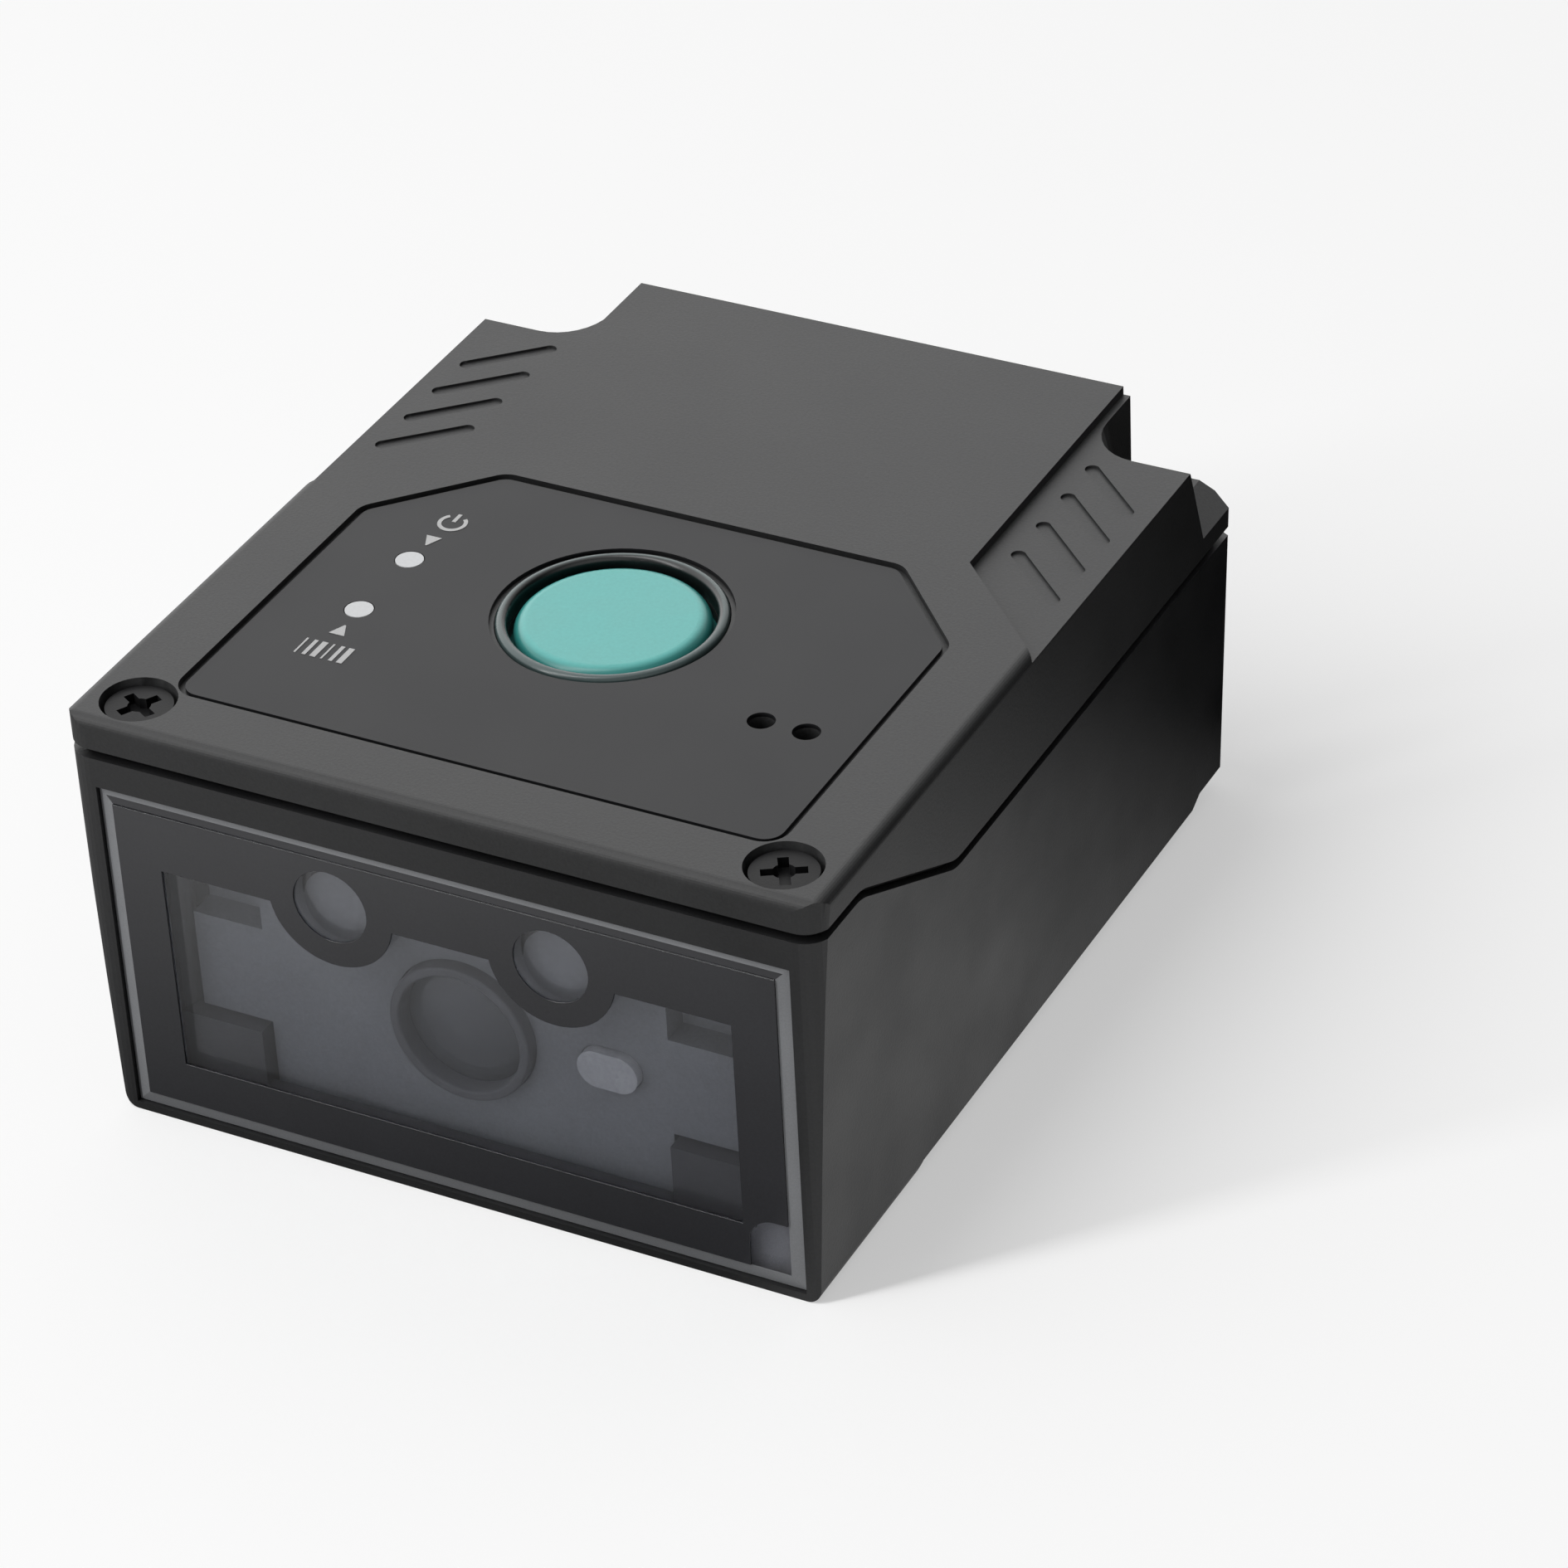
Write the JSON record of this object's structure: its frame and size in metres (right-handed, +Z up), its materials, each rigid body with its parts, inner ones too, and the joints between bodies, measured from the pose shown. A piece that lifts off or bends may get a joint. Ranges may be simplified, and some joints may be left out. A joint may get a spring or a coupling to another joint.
{
  "type": "fixed barcode reader",
  "caption": "Compact fixed-mount barcode reader: stepped two-part black case, smoked scan window, teal trigger button, status lights, rear interface jack and threaded inserts in the base.",
  "frame": {"origin": "middle of the base, on the surface that the reader stands on", "axes": "+Z up, the scan window faces -Y, +X to the right seen from the window"},
  "size_m": [0.0424, 0.0494, 0.0243],
  "materials": {
    "cover_plastic": "fine spark texture",
    "housing_plastic": "fine spark texture",
    "label_film": "smooth satin film",
    "bezel_plastic": "satin",
    "button_plastic": "satin",
    "light_pipe": "translucent",
    "black_steel": "black oxide",
    "smoked_pane": "smoked, polished",
    "mask_black": "satin print",
    "gasket_foam": "foam",
    "engine_plastic": "satin",
    "barrel_black": "matte",
    "lens_glass": "coated",
    "lamp_plastic": "frosted",
    "led_white": "moulded",
    "board": "solder mask",
    "steel": "zinc plated",
    "flex_film": "polyimide",
    "socket_plastic": "moulded",
    "chip_black": "moulded",
    "jack_plastic": "moulded",
    "gold": "gold plated",
    "insert_brass": "knurled, turned"
  },
  "bodies": {
    "case": {"top_cover": "cover_plastic", "lower_housing": "housing_plastic", "function_label": "label_film", "button_bezel": "bezel_plastic", "trigger_switch": "steel", "status_light_pipes": "light_pipe", "status_leds": "led_white", "buzzer": "chip_black", "key_board": "board", "key_board_screws": "steel", "cover_screws": "black_steel", "window_pane": "smoked_pane", "window_mask": "mask_black", "window_gasket": "gasket_foam", "engine_frame": "engine_plastic", "lens_barrel": "barrel_black", "lens_glass": "lens_glass", "image_sensor": "chip_black", "illumination_lenses": "lamp_plastic", "illumination_leds": "led_white", "aimer_lens": "lamp_plastic", "aimer_led": "led_white", "engine_board": "board", "engine_board_screws": "steel", "engine_screws": "steel", "engine_flex": "flex_film", "key_flex": "flex_film", "flex_sockets": "socket_plastic", "main_board": "board", "main_board_screws": "steel", "decoder_chip": "chip_black", "memory_chip": "chip_black", "interface_jack": "jack_plastic", "jack_contacts": "gold", "mount_inserts": "insert_brass"},
    "trigger": {"trigger_button": "button_plastic", "switch_plunger": "chip_black"}
  },
  "joints": [
    {"name": "trigger_press", "type": "slide", "parent": "case", "child": "trigger", "axis": [0, 0, -1], "range_m": [0, 0.0005], "stiffness_N_per_m": 800, "springref_m": -0.0005}
  ]
}
